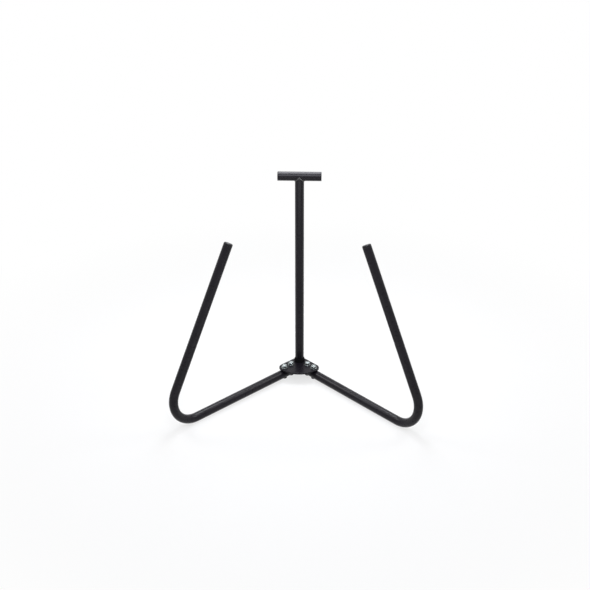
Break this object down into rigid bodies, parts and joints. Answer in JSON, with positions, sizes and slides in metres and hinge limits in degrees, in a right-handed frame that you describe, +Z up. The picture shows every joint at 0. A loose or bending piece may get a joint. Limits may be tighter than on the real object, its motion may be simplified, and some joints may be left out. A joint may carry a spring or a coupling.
{
  "type": "boot washing stand",
  "caption": "Free-standing boot washing stand: a T-handled post on a hub plate, with bent tube arms bolted beneath that rise as leaning uprights to hold boots upside down.",
  "frame": {"origin": "on the floor, at the middle of the stand's footprint", "axes": "+X along the handle, +Y from the open front of the arms towards the post, +Z up"},
  "size_m": [0.6252, 0.3306, 0.5765],
  "materials": {
    "black_coat": "satin black powder coat on steel",
    "coated_weld": "weld bead under satin black powder coat",
    "zinc_plate": "bright zinc plate",
    "black_plastic": "moulded black plastic"
  },
  "bodies": {
    "root": {"post_tube": "black_coat", "post_weld": "coated_weld", "handle_tube": "black_coat", "handle_weld": "coated_weld", "left_handle_plug": "black_plastic", "right_handle_plug": "black_plastic", "hub_plate": "black_coat", "left_arm_tube": "black_coat", "right_arm_tube": "black_coat", "left_upright_cap": "black_plastic", "right_upright_cap": "black_plastic", "left_inner_bolt": "zinc_plate", "left_outer_bolt": "zinc_plate", "right_inner_bolt": "zinc_plate", "right_outer_bolt": "zinc_plate", "left_inner_washer": "zinc_plate", "left_outer_washer": "zinc_plate", "right_inner_washer": "zinc_plate", "right_outer_washer": "zinc_plate", "left_inner_nut": "zinc_plate", "left_outer_nut": "zinc_plate", "right_inner_nut": "zinc_plate", "right_outer_nut": "zinc_plate"}
  },
  "joints": []
}
